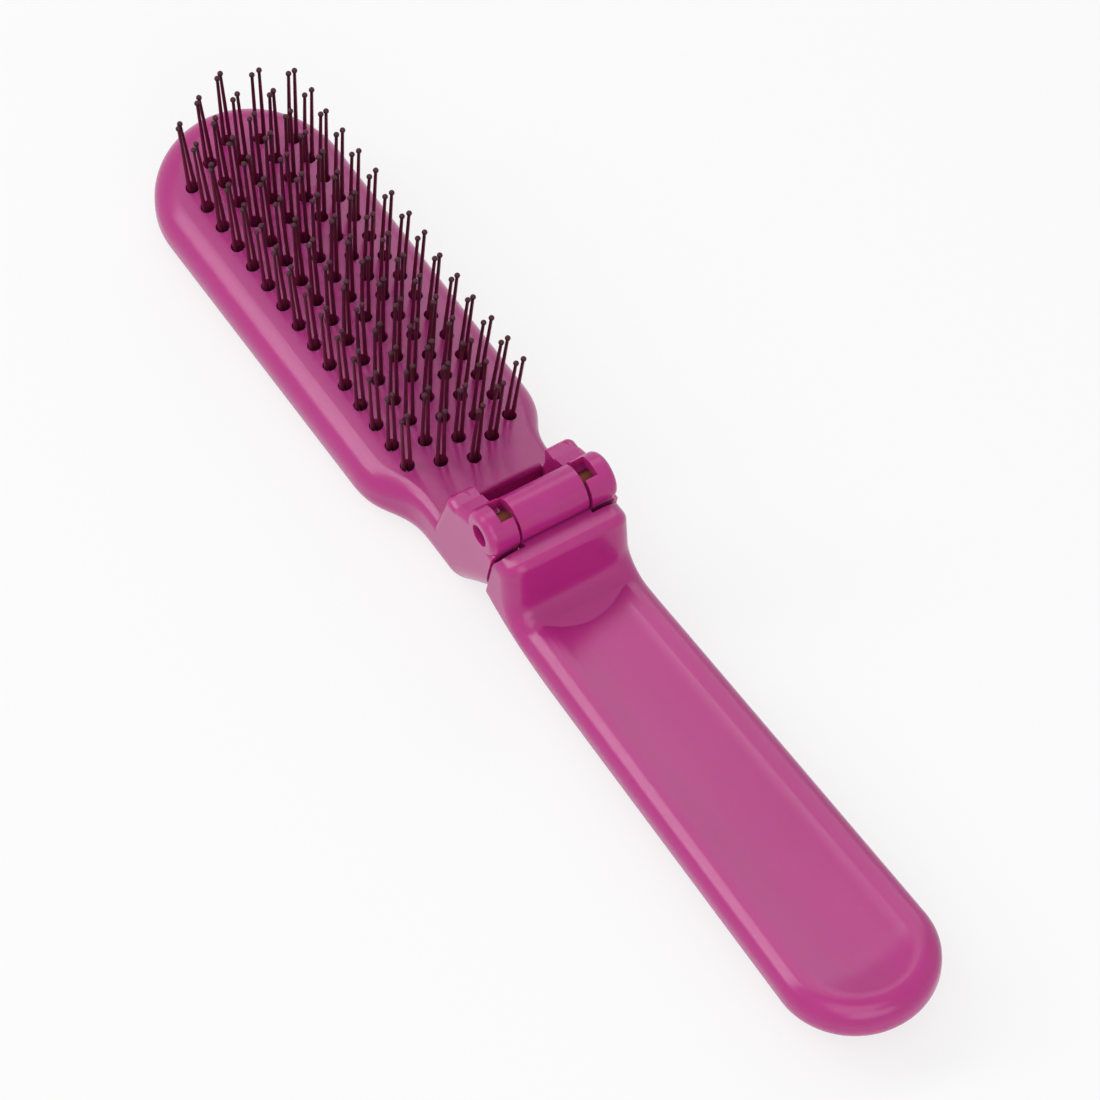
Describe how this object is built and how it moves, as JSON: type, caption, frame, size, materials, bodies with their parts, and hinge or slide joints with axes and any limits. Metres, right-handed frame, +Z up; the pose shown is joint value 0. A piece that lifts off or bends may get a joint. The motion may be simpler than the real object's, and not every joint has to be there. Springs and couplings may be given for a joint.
{
  "type": "folding travel hairbrush",
  "caption": "Folding hairbrush with a round-ended head of ball-tipped bristles, a pinned hinge and a dished grip handle that swings up and over the bristles.",
  "frame": {"origin": "centre of the open brush's outline, on the plane it lies on (the head's flat back)", "axes": "+X from the head towards the handle's end, +Y across, +Z up out of the bristle face"},
  "size_m": [0.1906, 0.0298, 0.025],
  "materials": {
    "body_plastic": "satin gloss",
    "bristle_nylon": "satin",
    "pin_steel": "dark",
    "anchor_wire": "bright"
  },
  "bodies": {
    "head": {"brush_head": "body_plastic", "hinge_pin": "pin_steel", "tufts_00": "bristle_nylon", "tufts_01": "bristle_nylon", "tufts_02": "bristle_nylon", "tufts_03": "bristle_nylon", "tufts_04": "bristle_nylon", "tufts_05": "bristle_nylon", "tufts_06": "bristle_nylon", "tufts_07": "bristle_nylon", "tufts_08": "bristle_nylon", "tufts_09": "bristle_nylon", "tufts_10": "bristle_nylon", "tufts_11": "bristle_nylon", "tufts_12": "bristle_nylon", "tufts_13": "bristle_nylon", "tufts_14": "bristle_nylon", "tufts_15": "bristle_nylon", "tufts_16": "bristle_nylon", "tufts_17": "bristle_nylon", "tufts_18": "bristle_nylon", "tufts_19": "bristle_nylon", "tufts_20": "bristle_nylon", "tufts_21": "bristle_nylon", "tufts_22": "bristle_nylon", "tufts_23": "bristle_nylon", "tufts_24": "bristle_nylon", "tufts_25": "bristle_nylon", "tufts_26": "bristle_nylon", "tufts_27": "bristle_nylon", "tufts_28": "bristle_nylon", "tufts_29": "bristle_nylon", "tufts_30": "bristle_nylon", "tufts_31": "bristle_nylon", "tufts_32": "bristle_nylon", "anchors_a": "anchor_wire", "anchors_b": "anchor_wire", "anchors_c": "anchor_wire", "anchors_d": "anchor_wire", "anchors_e": "anchor_wire"},
    "handle": {"grip_handle": "body_plastic"}
  },
  "joints": [
    {"name": "fold", "type": "hinge", "parent": "head", "child": "handle", "pos_m": [0.0005, 0, 0.021], "axis": [0, -1, 0], "range_deg": [0, 180]}
  ]
}
